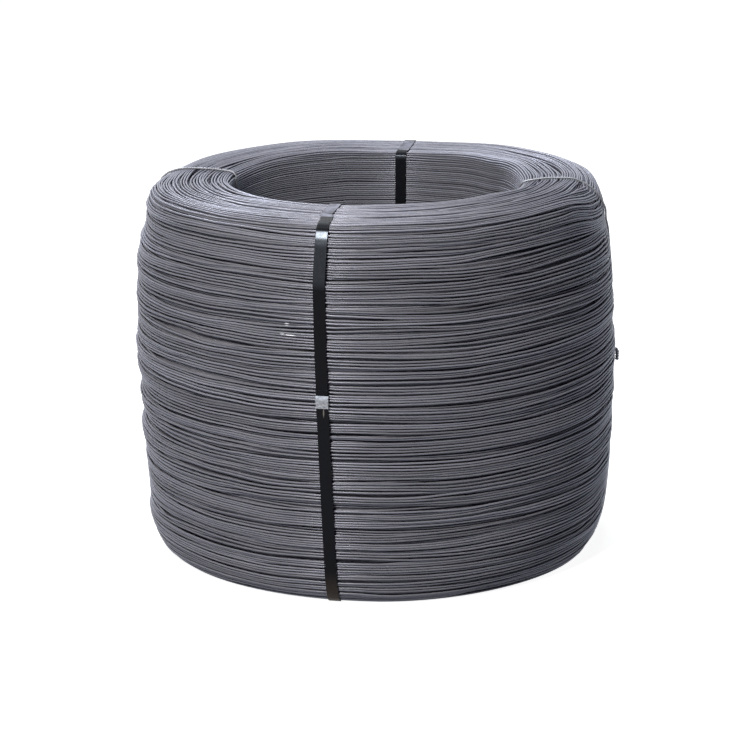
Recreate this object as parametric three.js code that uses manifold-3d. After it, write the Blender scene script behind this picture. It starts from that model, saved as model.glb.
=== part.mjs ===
// Coil of steel wire rod standing on its end, held by two flat straps and two twisted wire ties.
// Millimetres, +Z up; the origin is on the floor, on the coil's axis. Angles are in degrees,
// counter-clockwise from +X seen from above.

import * as THREE from 'three';
import { mergeVertices } from 'three/addons/utils/BufferGeometryUtils.js';
import Module from 'manifold-3d';

// ---- Driving sizes: the coil ------------------------------------------------------------------
const rodDiameter = 5.5;            // the wire rod
const eyeDiameter = 850;            // bore of the coil
const bellyDiameter = 1360;         // widest turn of the barrel-shaped side
const bellyHeight = 556;            // height of that turn
const coilHeight = 1054;            // at the highest side of its top
const topLean = 8;                  // how far the top end leans either way from its middle height
const topLeanAngle = -20;           // direction of its highest side
const topTaper = 33;                // how far the side draws in up to the top shoulder
const topShoulderDrop = 92;         // height that the top shoulder takes up
const topShoulderRun = 110;         // how far it runs in over the top, from its corner
const topShoulderFullness = 0.9;    // 2/3 is a parabola, 1 fills the corner
const bottomTaper = 25;             // how far the side draws in down to the bottom shoulder
const bottomShoulderRise = 105;
const bottomShoulderRun = 80;
const bottomShoulderFullness = 0.7;
const eyeRounding = 25;             // rounding of both ends into the bore
const turnPitch = 9.8;              // spacing of the turns that show on the ends
const turnRelief = 0.42;            // depth of the groove between two turns, in rod diameters
const landShare = 0.28;             // flat on each turn that stands on the floor, in pitches
const hollowSwing = 0.4;            // how much deeper a hollow of the side is in its deepest direction
const sideSteps = 9;                // straight steps of each half of the barrel side
const facetsPerQuarter = 9;

// ---- Driving sizes: straps, seals and ties ----------------------------------------------------
const clearance = 0.4;              // between pieces that touch
const floorClearance = 0.2;         // under what runs beneath the coil
const frontStrapAngle = 257.5;      // direction of the front strap
const backStrapTurn = 2.5;          // how far the back strap lies from right opposite the front one
const strapWidth = 32;
const strapThickness = 0.9;
const sealHeight = 578;             // middle of the seals on the barrel side
const sealLength = 36;
const sealWall = 1;
const sealFlange = 9;               // width of the seal's edge folded under the strap
const strapTail = 16;               // strap end standing out of the seal
const strapStep = 18;               // length over which the strap climbs on to itself
const notchRadius = 3;              // crimp notches in the seal's edges
const notchDepth = 1.2;
const rightTieTurn = 92;            // from the front strap, counter-clockwise
const leftTieTurn = -92.5;
const backStrapPress = 8;           // how far each band presses the top turns down
const rightTiePress = 6;
const leftTiePress = 5;
const rightKnotHeight = 577;
const leftKnotHeight = 620;
const pressSpread = 34;             // half the arc over which the top turns are pressed down
const liftSpread = 14;              // half the arc over which the turns ride up on a strap or tie
const twistTurns = 2.25;            // turns of the tie's ends round each other
const twistPitch = 15;
const twistNeck = 8;                // radius in which each end bends out into the twist
const twistReach = 6;               // straight twist before it is folded over
const twistFold = 13;               // radius in which the twist is folded over
const wrapRun = 120;                // straight run of a strap or tie along the barrel side
const shoulderRuns = 7;             // its straight runs over each outer shoulder
const eyeRuns = 3;                  // and over each rounding into the bore
const tieSides = 8;
const neckSteps = 3;                // steps of the bend into the twist
const twistSteps = 9;               // steps of each turn of the twist
const notchSides = 16;

// ---- Sizes worked out from them ---------------------------------------------------------------
const degree = Math.PI / 180;
const eyeRadius = eyeDiameter / 2;
const bellyRadius = bellyDiameter / 2;
const rodRadius = rodDiameter / 2;
const facets = 4 * facetsPerQuarter;
const facetAngle = 360 / facets;
const firstCorner = frontStrapAngle + facetAngle / 2;     // a facet lies square under each strap

// Each strap and tie: the direction that it faces, how far it lies to the side of that, its width
// and thickness, and how far it presses the top turns down.
function band(angle, aside, width, thickness, press) {
  return { angle, aside, width, thickness, press };
}

const backStrapAside = eyeRadius * Math.tan(backStrapTurn * degree);
const bands = {
  strap_front: band(frontStrapAngle, 0, strapWidth, strapThickness, 0),
  strap_back: band(frontStrapAngle + 180, backStrapAside, strapWidth, strapThickness, backStrapPress),
  tie_left: band(frontStrapAngle + leftTieTurn, 0, rodDiameter, rodDiameter, leftTiePress),
  tie_right: band(frontStrapAngle + rightTieTurn, 0, rodDiameter, rodDiameter, rightTiePress),
};

function finish(color, roughness, metalness) {
  return new THREE.MeshStandardMaterial({ color, roughness, metalness });
}

const strapFinish = finish(0x17181b, 0.45, 0.6);
const sealFinish = finish(0x8f9294, 0.4, 0.9);
const rodFinish = finish(0x4b4d52, 0.5, 0.8);
const tieFinish = finish(0x8a8a88, 0.45, 0.85);

// ---- Section of the coil, as a closed path of (radius, height) ----------------------------------
// Both halves of the side are parabolas that stand upright at the belly. A shoulder starts in the
// side's own direction, so its corner is where the side's last tangent meets the end.
const topEdge = new THREE.Vector2(bellyRadius - topTaper, coilHeight - topShoulderDrop);
const bottomEdge = new THREE.Vector2(bellyRadius - bottomTaper, bottomShoulderRise);

function shoulderCorner(edge, end) {
  const slope = 2 * (bellyRadius - edge.x) / Math.abs(edge.y - bellyHeight);
  return new THREE.Vector2(edge.x - slope * Math.abs(end - edge.y), end);
}

const topCorner = shoulderCorner(topEdge, coilHeight);
const bottomCorner = shoulderCorner(bottomEdge, 0);
const topFlatEdge = new THREE.Vector2(topCorner.x - topShoulderRun, coilHeight);
const bottomFlatEdge = new THREE.Vector2(bottomCorner.x - bottomShoulderRun, 0);

function roundShoulder(path, from, corner, to, fullness) {
  const leaving = from.clone().lerp(corner, fullness);
  const arriving = to.clone().lerp(corner, fullness);
  path.bezierCurveTo(leaving.x, leaving.y, arriving.x, arriving.y, to.x, to.y);
}

const section = new THREE.Path();
section.moveTo(eyeRadius, eyeRounding);
section.quadraticCurveTo(eyeRadius, 0, eyeRadius + eyeRounding, 0);
section.lineTo(bottomFlatEdge.x, 0);
roundShoulder(section, bottomFlatEdge, bottomCorner, bottomEdge, bottomShoulderFullness);
section.quadraticCurveTo(bellyRadius, (bottomEdge.y + bellyHeight) / 2, bellyRadius, bellyHeight);
section.quadraticCurveTo(bellyRadius, (bellyHeight + topEdge.y) / 2, topEdge.x, topEdge.y);
roundShoulder(section, topEdge, topCorner, topFlatEdge, topShoulderFullness);
section.lineTo(eyeRadius + eyeRounding, coilHeight);
section.quadraticCurveTo(eyeRadius, coilHeight, eyeRadius, coilHeight - eyeRounding);
section.lineTo(eyeRadius, eyeRounding);
const [bottomEye, bottomFlat, bottomShoulder, lowerSide, upperSide,
  topShoulder, topFlat, topEye, boreWall] = section.curves;

// ---- Hollows of the side ---------------------------------------------------------------------------
// Rings of turns that lie deeper than the section, which the straps and ties bridge: the height of
// each, its depth, how far it reaches up and down, and the direction in which it is deepest. The
// highest and the lowest keep their distance from the shoulder, the others from the belly.
function hollow(height, depth, reach, deepestAngle) {
  return { height, depth, reach, deepestAngle };
}

const hollows = [
  hollow(topEdge.y - 42, 5, 75, 200),
  hollow(bellyHeight + 169, 3, 50, 200),
  hollow(bellyHeight + 84, 5, 55, 0),
  hollow(bellyHeight - 66, 6, 55, 170),
  hollow(bellyHeight - 161, 6.5, 60, 180),
  hollow(bottomEdge.y + 170, 3.5, 45, 180),
];

// Each hollow is one wave of a cosine over the height.
function hollowDepth(height, angle) {
  let sum = 0;
  for (const { height: middle, depth, reach, deepestAngle } of hollows) {
    const share = Math.min(Math.abs(height - middle) / reach, 1);
    const swing = 1 + hollowSwing * Math.cos((angle - deepestAngle) * degree);
    sum += depth * swing * (1 + Math.cos(share * Math.PI)) / 2;
  }
  return sum;
}

// ---- How the turns give way under the straps and ties -------------------------------------------
// Full height at both corners of the facet that a band crosses, so up to a facet away from it, then
// a smooth fall to nothing at the spread.
function fade(angle, spread) {
  const offset = Math.abs(THREE.MathUtils.euclideanModulo(angle + 180, 360) - 180);
  return 1 - THREE.MathUtils.smoothstep(offset, facetAngle, spread);
}

// At a corner between two facets, the ends give way for the nearest band and for the lean.
function giveAtCorner(angle) {
  let lift = 0;
  let press = 0;
  for (const { angle: bandAngle, thickness, press: bandPress } of Object.values(bands)) {
    const depth = thickness + clearance + floorClearance;
    lift = Math.max(lift, depth * fade(angle - bandAngle, liftSpread));
    press = Math.max(press, bandPress * fade(angle - bandAngle, pressSpread));
  }
  return { lift, press: press + topLean * (1 - Math.cos((angle - topLeanAngle) * degree)) };
}

// The faceted coil at any angle, between the two corners of that facet.
function giveAt(angle) {
  const steps = (angle - firstCorner) / facetAngle;
  const offset = (steps - Math.floor(steps) - 0.5) * facetAngle;
  const share = 0.5 + Math.tan(offset * degree) / (2 * Math.tan(facetAngle / 2 * degree));
  const before = giveAtCorner(angle - offset - facetAngle / 2);
  const after = giveAtCorner(angle - offset + facetAngle / 2);
  return {
    reach: 1 / Math.cos(offset * degree),
    lift: THREE.MathUtils.lerp(before.lift, after.lift, share),
    press: THREE.MathUtils.lerp(before.press, after.press, share),
  };
}

// A band lies on the highest turns under its width.
function seatOf({ angle, aside, width }) {
  const edges = [-width / 2, 0, width / 2].map((place) => {
    const turn = Math.atan2(aside + place, eyeRadius) / degree;
    return giveAt(angle + turn);
  });
  return {
    reach: giveAt(angle).reach,
    lift: Math.max(...edges.map((edge) => edge.lift)),
    press: Math.min(...edges.map((edge) => edge.press)),
  };
}

// Squeezes the section evenly above and below the belly, so that it ends at its lift and press.
function squeezedHeight(height, { lift, press }) {
  if (height > bellyHeight) {
    return height - press * (height - bellyHeight) / (coilHeight - bellyHeight);
  }
  return height + lift * (bellyHeight - height) / bellyHeight;
}

// ---- The coil: one turned solid, its turns standing out as rings on both ends --------------------
// A crest lies on the section for each turn, with a groove cut in square to it between two turns.
// The turns that stand on the floor are flat there.
function ringedEnd(curves) {
  const landHalf = landShare * turnPitch / 2;
  const end = new THREE.CurvePath();
  curves.forEach((curve) => end.add(curve));
  const length = end.getLength();
  const turns = Math.round(length / turnPitch);
  const points = [end.getPoint(0)];
  for (let turn = 0; turn < turns; turn += 1) {
    const crest = end.getPoint((turn + 0.5) / turns);
    if (crest.y === 0) {
      points.push(new THREE.Vector2(crest.x - landHalf, 0));
      points.push(new THREE.Vector2(crest.x + landHalf, 0));
    } else {
      points.push(crest);
    }
    if (turn < turns - 1) {
      const at = (turn + 1) / turns;
      const along = end.getTangent(at);
      const inward = new THREE.Vector2(-along.y, along.x);
      points.push(end.getPoint(at).addScaledVector(inward, turnRelief * rodDiameter));
    }
  }
  points.push(end.getPoint(1));
  return points;
}

function coilProfile() {
  const points = [
    ...ringedEnd([bottomEye, bottomFlat, bottomShoulder]),
    ...lowerSide.getPoints(sideSteps).slice(1),
    ...upperSide.getPoints(sideSteps).slice(1, -1),
    ...ringedEnd([topShoulder, topFlat, topEye]),
  ];
  points.push(points[0].clone());
  return points;
}

function coilGeometry() {
  const cornerReach = 1 / Math.cos(facetAngle / 2 * degree);
  const profile = coilProfile().map((point) => new THREE.Vector2(point.x * cornerReach, point.y));
  const geometry = new THREE.LatheGeometry(profile, facets, (firstCorner + 90) * degree);
  geometry.rotateX(Math.PI / 2);
  geometry.deleteAttribute('normal');
  geometry.deleteAttribute('uv');
  const merged = mergeVertices(geometry, 1e-3);
  const position = merged.getAttribute('position');
  const place = new THREE.Vector3();
  for (let i = 0; i < position.count; i += 1) {
    place.fromBufferAttribute(position, i);
    const radius = Math.hypot(place.x, place.y);
    const angle = Math.atan2(place.y, place.x) / degree;
    const corner = firstCorner + Math.round((angle - firstCorner) / facetAngle) * facetAngle;
    const inward = radius > (eyeRadius + bellyRadius) / 2 ? hollowDepth(place.z, corner) : 0;
    const drawnIn = 1 - inward / radius;
    const height = squeezedHeight(place.z, giveAtCorner(corner));
    position.setXYZ(i, place.x * drawnIn, place.y * drawnIn, height);
  }
  return merged;
}

// ---- Wrapping a band round the section -----------------------------------------------------------
// Each straight run of a band is a tangent of the section, moved out by an offset. The runs meet
// at the corners of the band's path, so the path never cuts into the section.
function sideSpot(height) {
  return height > bellyHeight
    ? [upperSide, (height - bellyHeight) / (topEdge.y - bellyHeight)]
    : [lowerSide, (height - bottomEdge.y) / (bellyHeight - bottomEdge.y)];
}

const evenSpots = (curve, count) => Array.from({ length: count }, (_, i) => [curve, (i + 0.5) / count]);

// The places that a band touches, from the given height on the barrel side up over the top, down
// the bore, under the coil and up the side again.
function spotsRound(startHeight) {
  const above = [];
  for (let height = startHeight; height < topEdge.y; height += wrapRun) {
    above.push(sideSpot(height));
  }
  const below = [];
  for (let height = startHeight - wrapRun; height > bottomEdge.y; height -= wrapRun) {
    below.unshift(sideSpot(height));
  }
  return [
    ...above,
    ...evenSpots(topShoulder, shoulderRuns),
    ...evenSpots(topFlat, 1),
    ...evenSpots(topEye, eyeRuns),
    ...evenSpots(boreWall, 1),
    ...evenSpots(bottomEye, eyeRuns),
    ...evenSpots(bottomFlat, 1),
    ...evenSpots(bottomShoulder, shoulderRuns),
    ...below,
  ];
}

// The same places on the faceted, squeezed coil, each with the section's direction there.
function runsRound(place, startHeight) {
  const seat = seatOf(place);
  return spotsRound(startHeight).map(([curve, share]) => {
    const point = curve.getPoint(share);
    const along = curve.getTangent(share);
    const squeeze = point.y > bellyHeight
      ? 1 - seat.press / (coilHeight - bellyHeight)
      : 1 - seat.lift / bellyHeight;
    return {
      point: new THREE.Vector2(point.x * seat.reach, squeezedHeight(point.y, seat)),
      along: new THREE.Vector2(along.x * seat.reach, along.y * squeeze).normalize(),
    };
  });
}

const outwards = (along) => new THREE.Vector2(along.y, -along.x);

// Where two runs meet once both are moved out by the offset.
function corner(run, next, offset) {
  const from = run.point.clone().addScaledVector(outwards(run.along), offset);
  const to = next.point.clone().addScaledVector(outwards(next.along), offset);
  const gap = to.sub(from);
  return from.addScaledVector(run.along, gap.cross(next.along) / run.along.cross(next.along));
}

function cornersRound(runs, offset) {
  return runs.map((run, i) => corner(run, runs[(i + 1) % runs.length], offset));
}

// ---- Straps ------------------------------------------------------------------------------------
// The stack under the seal, measured out from the coil: seal flange, inner strap end, outer strap
// end, seal plate.
const innerLayer = clearance + sealWall + clearance;
const outerLayer = innerLayer + strapThickness + clearance;
const platePlace = outerLayer + strapThickness + clearance;

// The strap starts under the seal, goes once round the section and comes back over its own start. It
// climbs there on the straight run under the seal, in a shorter step where that run is short.
function strapShape(runs) {
  const lap = sealLength / 2 + strapTail;
  const { point, along } = runs[0];
  const out = outwards(along);
  const straightRun = point.clone().sub(cornersRound(runs, clearance).at(-1)).dot(along);
  const climb = Math.min(strapStep, straightRun - lap - 2 * clearance);
  const at = (distance, height) => point.clone()
    .addScaledVector(along, distance)
    .addScaledVector(out, height);
  const face = (rise) => [
    at(-lap, innerLayer + rise),
    at(sealLength / 2 + clearance, innerLayer + rise),
    at(sealLength / 2 + clearance + strapStep, clearance + rise),
    ...cornersRound(runs, clearance + rise),
    at(-lap - clearance - climb, clearance + rise),
    at(-lap - clearance, outerLayer + rise),
    at(lap, outerLayer + rise),
  ];
  return new THREE.Shape([...face(0), ...face(strapThickness).reverse()]);
}

function strapMesh(name, runs) {
  const geometry = new THREE.ExtrudeGeometry(strapShape(runs), { depth: strapWidth, bevelEnabled: false });
  geometry.translate(0, 0, -strapWidth / 2);
  geometry.rotateX(Math.PI / 2);
  const mesh = new THREE.Mesh(geometry, strapFinish);
  mesh.name = name;
  return mesh;
}

// ---- Seals: a C-shaped sleeve closed round both strap ends, with crimp notches in its edges ------
const wasm = await Module();
wasm.setup();

function solidOf(geometry) {
  const bare = geometry.clone();
  bare.deleteAttribute('normal');
  bare.deleteAttribute('uv');
  const merged = mergeVertices(bare, 1e-4);
  return new wasm.Manifold(new wasm.Mesh({
    numProp: 3,
    vertProperties: new Float32Array(merged.getAttribute('position').array),
    triVerts: new Uint32Array(merged.getIndex().array),
  }));
}

function geometryOf(solid) {
  const mesh = solid.getMesh();
  const geometry = new THREE.BufferGeometry();
  geometry.setAttribute('position', new THREE.BufferAttribute(mesh.vertProperties, 3));
  geometry.setIndex(new THREE.BufferAttribute(mesh.triVerts, 1));
  return geometry;
}

function sealGeometry() {
  const inside = strapWidth / 2 + clearance;
  const outside = inside + sealWall;
  const lip = inside - sealFlange;
  const plate = platePlace + sealWall;
  const flangeTop = clearance + sealWall;
  const shape = new THREE.Shape();
  shape.moveTo(clearance, -outside);
  shape.lineTo(plate, -outside);
  shape.lineTo(plate, outside);
  shape.lineTo(clearance, outside);
  shape.lineTo(clearance, lip);
  shape.lineTo(flangeTop, lip);
  shape.lineTo(flangeTop, inside);
  shape.lineTo(platePlace, inside);
  shape.lineTo(platePlace, -inside);
  shape.lineTo(flangeTop, -inside);
  shape.lineTo(flangeTop, -lip);
  shape.lineTo(clearance, -lip);
  shape.closePath();
  const sleeve = new THREE.ExtrudeGeometry(shape, { depth: sealLength, bevelEnabled: false });
  sleeve.translate(0, 0, -sealLength / 2);
  let solid = solidOf(sleeve);
  for (const side of [-1, 1]) {
    for (const step of [-1, 1]) {
      const notch = new THREE.CylinderGeometry(notchRadius, notchRadius, 2 * plate, notchSides);
      notch.rotateZ(Math.PI / 2);
      notch.translate(plate / 2, side * (outside + notchRadius - notchDepth), step * sealLength / 4);
      solid = solid.subtract(solidOf(notch));
    }
  }
  return geometryOf(solid);
}

function sealMesh(name, run) {
  const mesh = new THREE.Mesh(sealGeometry(), sealFinish);
  mesh.name = name;
  mesh.position.set(run.point.x, 0, run.point.y);
  mesh.rotation.y = Math.atan2(run.along.x, run.along.y);
  return mesh;
}

// ---- Wire ties ---------------------------------------------------------------------------------
// A polyline as a curve whose stations are its own points, with the bisector as the direction.
class WirePath extends THREE.Curve {
  constructor(points) {
    super();
    this.points = points;
  }

  getUtoTmapping(u) {
    return u;
  }

  getPoint(t) {
    const last = this.points.length - 1;
    const index = Math.min(Math.floor(t * last + 1e-9), last - 1);
    return this.points[index].clone().lerp(this.points[index + 1], t * last - index);
  }

  getTangent(t) {
    const last = this.points.length - 1;
    const index = Math.round(t * last);
    const back = this.points[Math.max(index - 1, 0)];
    const here = this.points[index];
    const ahead = this.points[Math.min(index + 1, last)];
    const before = here.clone().sub(back).normalize();
    return before.add(ahead.clone().sub(here).normalize()).normalize();
  }
}

// One end of a tie, from the barrel side outwards: a bend into the twist, then a helix round an
// axis that runs straight out and is folded over in the direction given. Side is 1 for the end
// that comes from above and -1 for the one from below.
function twistedEnd(run, side, fold) {
  const up = new THREE.Vector3(run.along.x, 0, run.along.y);
  const out = new THREE.Vector3(run.along.y, 0, -run.along.x);
  const foldTo = fold === 'down' ? up.clone().negate() : new THREE.Vector3(0, -1, 0);
  const across = out.clone().cross(foldTo);
  const foot = new THREE.Vector3(run.point.x, 0, run.point.y).addScaledVector(out, rodRadius + clearance);
  const twistRadius = rodRadius + clearance / 2;
  const firstTurn = Math.atan2(across.dot(up), foldTo.dot(up)) + (side > 0 ? 0 : Math.PI);
  const foldLength = twistFold * Math.PI / 2;

  const neckPoint = (bend) => foot.clone()
    .addScaledVector(up, side * (twistRadius + twistNeck * (1 - Math.sin(bend))))
    .addScaledVector(out, twistNeck * (1 - Math.cos(bend)));

  const twistPoint = (distance) => {
    const straight = Math.min(distance, twistReach);
    const bend = THREE.MathUtils.clamp(distance - twistReach, 0, foldLength) / twistFold;
    const beyond = Math.max(0, distance - twistReach - foldLength);
    const inside = foldTo.clone().multiplyScalar(Math.cos(bend)).addScaledVector(out, -Math.sin(bend));
    const gather = 0.5 + 0.5 * Math.min(1, distance / twistPitch);
    const turn = firstTurn + 2 * Math.PI * gather * distance / twistPitch;
    return foot.clone()
      .addScaledVector(out, twistNeck + straight + twistFold * Math.sin(bend))
      .addScaledVector(foldTo, twistFold * (1 - Math.cos(bend)) + beyond)
      .addScaledVector(inside, twistRadius * Math.cos(turn))
      .addScaledVector(across, twistRadius * Math.sin(turn));
  };

  const steps = Math.round(twistTurns * twistSteps);
  return [
    ...Array.from({ length: neckSteps }, (_, i) => neckPoint(i / neckSteps * Math.PI / 2)),
    ...Array.from({ length: steps + 1 }, (_, i) => twistPoint(twistTurns * twistPitch * i / steps)),
  ];
}

function tieMesh(name, runs, fold) {
  const loop = cornersRound(runs, rodRadius + clearance)
    .map((point) => new THREE.Vector3(point.x, 0, point.y));
  const path = [
    ...twistedEnd(runs[0], 1, fold).reverse(),
    ...loop,
    ...twistedEnd(runs[0], -1, fold),
  ];
  const round = new THREE.Shape(Array.from({ length: tieSides }, (_, i) => {
    const turn = (i + 0.5) / tieSides * 2 * Math.PI;
    return new THREE.Vector2(rodRadius * Math.cos(turn), rodRadius * Math.sin(turn));
  }));
  const geometry = new THREE.ExtrudeGeometry(round, {
    steps: path.length - 1, extrudePath: new WirePath(path), bevelEnabled: false,
  });
  const mesh = new THREE.Mesh(geometry, tieFinish);
  mesh.name = name;
  return mesh;
}

// ---- The whole coil, each band in a group turned to its own direction ----------------------------
const coil = new THREE.Mesh(coilGeometry(), rodFinish);
coil.name = 'wire_coil';

function placed(place, ...meshes) {
  const group = new THREE.Group();
  group.rotation.z = place.angle * degree;
  for (const mesh of meshes) {
    mesh.position.y += place.aside;
    group.add(mesh);
  }
  return group;
}

function strapGroup(name) {
  const runs = runsRound(bands[name], sealHeight);
  return placed(bands[name], strapMesh(name, runs), sealMesh(`${name}_seal`, runs[0]));
}

function tieGroup(name, knotHeight, fold) {
  return placed(bands[name], tieMesh(name, runsRound(bands[name], knotHeight), fold));
}

const wireCoil = new THREE.Group();
wireCoil.add(
  coil,
  strapGroup('strap_front'),
  strapGroup('strap_back'),
  tieGroup('tie_left', leftKnotHeight, 'sideways'),
  tieGroup('tie_right', rightKnotHeight, 'down'),
);

export default wireCoil;
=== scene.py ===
"""Coil of steel wire rod on its end, held by two flat straps with crimped seals and two wire ties.

Metres, +Z up, the origin on the floor on the coil's axis. Angles are in degrees, counter-clockwise
from +X seen from above. The rod is wound as one continuous line whose turns lie side by side
round the coil's section, from the bore's lower edge under the coil, up its side, over its top and
down the bore again. A distance is measured round that section, the same way, from the bore's
lower edge. A flat place or direction is a (radial, upward) pair in the plane of such a section.
"""
from collections import namedtuple
import math

import bpy
import numpy as np
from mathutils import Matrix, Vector


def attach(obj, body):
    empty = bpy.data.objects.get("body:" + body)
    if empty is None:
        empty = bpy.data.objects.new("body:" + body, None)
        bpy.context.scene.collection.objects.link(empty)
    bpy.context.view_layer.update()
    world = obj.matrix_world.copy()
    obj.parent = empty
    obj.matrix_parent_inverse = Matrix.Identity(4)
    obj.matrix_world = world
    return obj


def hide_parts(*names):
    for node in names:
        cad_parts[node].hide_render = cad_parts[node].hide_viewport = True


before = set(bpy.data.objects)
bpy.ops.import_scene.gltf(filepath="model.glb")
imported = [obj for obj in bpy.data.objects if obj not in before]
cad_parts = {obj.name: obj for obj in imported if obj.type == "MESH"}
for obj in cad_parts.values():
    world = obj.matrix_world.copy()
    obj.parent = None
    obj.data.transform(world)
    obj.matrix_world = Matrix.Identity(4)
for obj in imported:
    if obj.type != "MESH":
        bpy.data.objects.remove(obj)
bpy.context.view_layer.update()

# ---- The coil's section: the sizes of its solid, but for a fuller foot --------------------------
ROD = 0.0055                        # diameter of the wire rod
EYE_RADIUS = 0.425
BELLY_RADIUS = 0.680
BELLY_HEIGHT = 0.556
COIL_HEIGHT = 1.054                 # at the highest side of the top
EYE_ROUNDING = 0.025
Shoulder = namedtuple("Shoulder", "taper height run fullness")      # taper: belly to its edge
TOP_SHOULDER = Shoulder(0.033, 0.092, 0.110, 0.9)
FOOT_SHOULDER = Shoulder(0.025, 0.125, 0.045, 0.66)
Hollow = namedtuple("Hollow", "height depth reach deepest_angle")
HOLLOWS = [                         # rings of the side that lie deeper than the section
    Hollow(0.940, 0.0060, 0.065, 190),
    Hollow(0.725, 0.0025, 0.045, 20),
    Hollow(0.607, 0.0035, 0.026, 190),
    Hollow(0.640, 0.0050, 0.055, 0),
    Hollow(0.490, 0.0060, 0.055, 170),
    Hollow(0.395, 0.0065, 0.060, 180),
    Hollow(0.275, 0.0035, 0.045, 180),
]
HOLLOW_SWING = 0.4                  # share by which each is deeper in its deepest direction

# ---- How the finished coil has settled out of true ----------------------------------------------
TOP_SAG = 0.0086                    # of the middle of the top below its highest side
TOP_LEAN = (0.0078, 0.0004)         # rise of the top towards +X and +Y
EYE_LEAN = (-0.0036, -0.0066)       # what the eye's rim adds to that
EYE_SHIFT = -0.0014                 # of the bore towards +X
EYE_GROWTH = (-0.0110, -0.0080)     # of its radius, on all sides and both ways along X
FOOT_SHIFT = 0.0075                 # of the outer turns towards +X, at the foot and at the top
HEAD_SHIFT = -0.0100
HEAD_EASE = 0.5                     # share of the top's shift that is lost on the shoulder
FOOT_BULGE = (-0.0064, -0.0032)     # growth of the foot towards +X and +Y
FOOT_SPREAD = 0.0045                # and both ways along X, at the cost of Y
BORE_TURNS = (0.44, 0.56)           # radii between which what moves the bore fades out,
OUTER_TURNS = (0.50, 0.62)          # what moves the outer turns comes in,
RIM_TURNS = (0.42, 0.50)            # a tie's pull on the eye's rim fades out
SHOULDER_TURNS = (0.54, 0.64)       # and its pull on the shoulder comes in
HEAD_HEIGHTS = (0.70, 0.95)         # shares of the height over the belly between which those pulls
FOOT_HEIGHTS = (0.55, 0.95)         # come in, and of the height under it for the foot's bulge

# ---- Straps and ties ----------------------------------------------------------------------------
CLEARANCE = 0.0004
FLOOR_CLEARANCE = 0.0002
STRAP_WIDTH = 0.032
STRAP_THICKNESS = 0.0009
Band = namedtuple("Band", "angle thickness press rim_pull shoulder_pull line")
BANDS = {                           # direction of each, how far the turns give way under it, and
    #                                 its angle at distances round the section
    "strap_front": Band(257.5, STRAP_THICKNESS, 0, 0, 0, {
        0.0: 258.7, 0.385: 258.7, 0.545: 258.57, 0.71: 258.36, 0.83: 258.22, 0.995: 257.85,
        1.08: 257.68, 1.293: 257.6, 1.365: 256.1, 1.46: 256.1, 2.30: 258.6}),
    "strap_back": Band(80.0, STRAP_THICKNESS, 0.008, 0, 0, {
        0.0: 79.6, 1.26: 79.6, 1.40: 79.3, 1.448: 80.0, 2.30: 80.0}),
    "tie_left": Band(165.0, ROD, 0.003, 0.006, 0.010, {
        0.0: 168.5, 0.40: 165.0, 1.20: 165.0, 1.44: 166.5, 1.50: 168.5}),
    "tie_right": Band(349.5, ROD, 0.003, 0.011, 0.024, {
        0.0: 350.5, 0.30: 358.0, 0.55: 363.5, 1.11: 363.5, 1.17: 355.5, 1.22: 351.0,
        2.30: 349.5}),
}
PRESS_START = 5                     # full press and lift up to this many degrees from a band,
PRESS_SPREAD = 34                   # and none from so many on
SHOULDER_SPREAD = 23.8
SQUEEZE_SPREAD = 22
LIFT_SPREAD = 14
SEAL_HEIGHT = 0.579                 # middle of the seals on the side
SEAL_LENGTH = 0.034
SEAL_WALL = 0.001
SEAL_FLANGE = 0.009                 # width of the seal's edge folded under the strap
SEAL_CHAMFER = 0.0004
SEAL_STATIONS = 41
SEAL_CRIMPS = (-0.25, 0.25)         # places of the crimps along the seal, in its lengths
CRIMP_REACH = 0.002
CRIMP_DEPTH = 0.0012
STRAP_TAIL = 0.016                  # strap end standing out of the seal
STRAP_STEP = 0.018                  # length over which the strap climbs on to itself
INNER_LAYER = CLEARANCE + SEAL_WALL + CLEARANCE      # height over the coil of the strap's layers
OUTER_LAYER = INNER_LAYER + STRAP_THICKNESS + CLEARANCE
SEAL_PLATE = OUTER_LAYER + STRAP_THICKNESS + CLEARANCE       # and of the plate, in the seal
STRAP_BEND = 0.0045                 # length taken up by half of a bend
TIE_BEND = 0.008
BEND_HOLD = 1.8                     # from where a run is straight, in halves of its bend
BEND_ROOM = 2.2                     # a held bend takes up no more of a run than one part in this
SIDE_RUN = 0.05                     # straight run of a band along the side
SIDE_MARGINS = (0.14, 0.15)         # distances of the last runs from the side's lower and upper end
TOP_TOUCHES = np.array([0.016, 0.041, 0.0585, 0.084, 0.108, 0.130, 0.158, 0.226])
#                                     distances past the side, where a tight band touches the top,
FOOT_TOUCHES = np.array([0.01, 0.025, 0.04, 0.055, 0.07, 0.09, 0.12])       # past the underside,
RIM_TOUCHES = np.array([0.006, 0.019, 0.032])        # past both ends of the bore
FLAT_TOUCH = 0.10                   # and past its lower end, under the coil
TIE_SIDES = 10
TIE_STEP = 0.02                     # longest run of a tie between two stations
TIE_KNOTS = {"tie_left": (0.620, True), "tie_right": (0.528, False)}    # height, folded sideways
TWIST_TURNS = 2.25                  # turns of a tie's ends round each other
TWIST_PITCH = 0.015
TWIST_NECK = 0.006                  # radius in which each end bends out into the twist
TWIST_FOLD = 0.005                  # radius in which the twist is folded over
NECK_STATIONS, TWIST_STATIONS = 5, 40
UV_ROW = 24                         # stations of a strap or tie in each row of its UV layout
STRAP_SHARP = math.radians(40)      # bend from which an edge is shaded as sharp
SEAL_SHARP = math.radians(50)

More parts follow.
